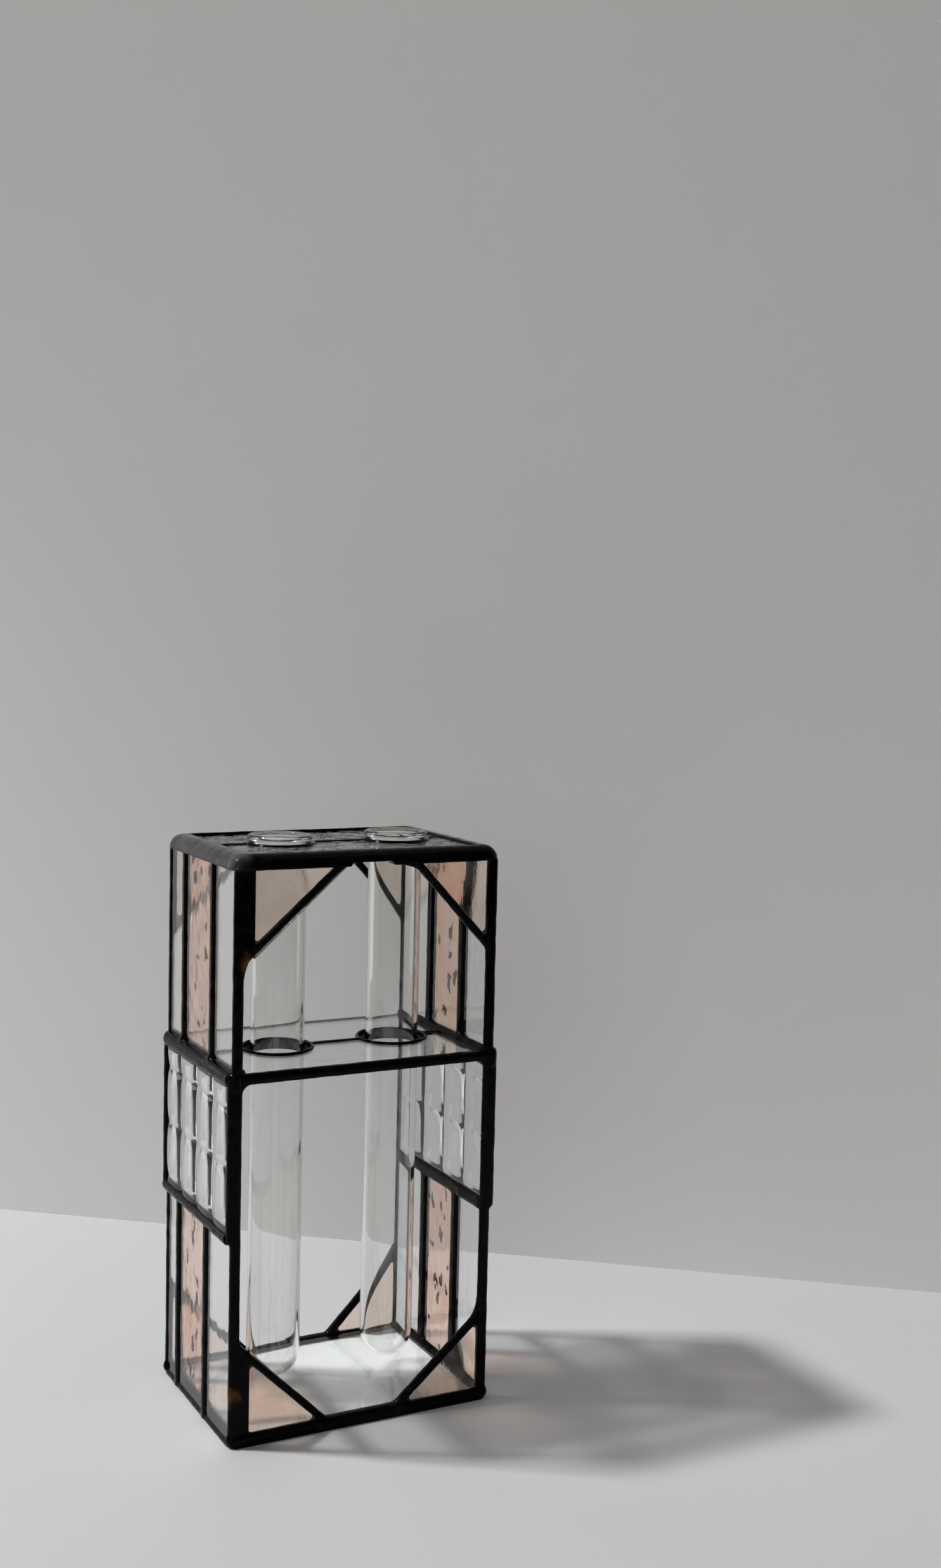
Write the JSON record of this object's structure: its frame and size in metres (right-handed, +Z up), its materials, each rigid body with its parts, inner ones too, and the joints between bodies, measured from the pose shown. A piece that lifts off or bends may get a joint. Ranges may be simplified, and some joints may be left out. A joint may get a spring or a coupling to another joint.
{
  "type": "leaded glass tube vase stand",
  "caption": "Upright leaded-glass stand with pink and clear strips, fluted blocks and corner triangles, holding a pair of round-bottomed glass tubes for stems.",
  "frame": {"origin": "on the table, under the middle of the stand", "axes": "+X from the left wall to the right wall, +Y from the open front to the open back, +Z up"},
  "size_m": [0.0958, 0.068, 0.191],
  "materials": {
    "patina_solder": "satin",
    "clear_glass": "polished",
    "hammered_glass": "textured",
    "fluted_glass": "fluted",
    "pink_glass": "textured",
    "tube_glass": "polished"
  },
  "bodies": {
    "frame": {"base_pane": "clear_glass", "shelf_pane_front": "clear_glass", "shelf_pane_back": "clear_glass", "top_pane_front": "hammered_glass", "top_pane_back": "hammered_glass", "left_upper_back_pane": "clear_glass", "left_upper_pink_pane": "pink_glass", "left_upper_front_pane": "clear_glass", "left_fluted_block": "fluted_glass", "left_lower_back_pane": "clear_glass", "left_lower_pink_pane": "pink_glass", "left_lower_front_pane": "clear_glass", "right_upper_back_pane": "clear_glass", "right_upper_pink_pane": "pink_glass", "right_upper_front_pane": "clear_glass", "right_fluted_block": "fluted_glass", "right_lower_back_pane": "clear_glass", "right_lower_pink_pane": "pink_glass", "right_lower_front_pane": "clear_glass", "front_top_left_triangle": "pink_glass", "front_top_right_triangle": "pink_glass", "front_base_left_triangle": "pink_glass", "front_base_right_triangle": "pink_glass", "back_top_left_triangle": "pink_glass", "back_top_right_triangle": "pink_glass", "back_base_left_triangle": "pink_glass", "back_base_right_triangle": "pink_glass", "front_left_post": "patina_solder", "front_right_post": "patina_solder", "back_left_post": "patina_solder", "back_right_post": "patina_solder", "top_rim_front": "patina_solder", "top_rim_back": "patina_solder", "top_rim_left": "patina_solder", "top_rim_right": "patina_solder", "base_bar_front": "patina_solder", "base_bar_back": "patina_solder", "base_seam_left": "patina_solder", "base_seam_right": "patina_solder", "shelf_bar_front": "patina_solder", "shelf_edge_back": "patina_solder", "left_shelf_band": "patina_solder", "right_shelf_band": "patina_solder", "left_transom": "patina_solder", "right_transom": "patina_solder", "left_mullions": "patina_solder", "right_mullions": "patina_solder", "front_top_braces": "patina_solder", "front_base_braces": "patina_solder", "back_top_braces": "patina_solder", "back_base_braces": "patina_solder", "top_centre_seam": "patina_solder", "shelf_centre_seam": "patina_solder", "top_collar_left": "patina_solder", "top_collar_right": "patina_solder", "shelf_collar_left": "patina_solder", "shelf_collar_right": "patina_solder"},
    "tube_left": {"tube_left": "tube_glass"},
    "tube_right": {"tube_right": "tube_glass"}
  },
  "joints": [
    {"name": "left_tube_lift", "type": "slide", "parent": "frame", "child": "tube_left", "axis": [0, 0, 1], "range_m": [0, 0.19]},
    {"name": "right_tube_lift", "type": "slide", "parent": "frame", "child": "tube_right", "axis": [0, 0, 1], "range_m": [0, 0.19]}
  ]
}
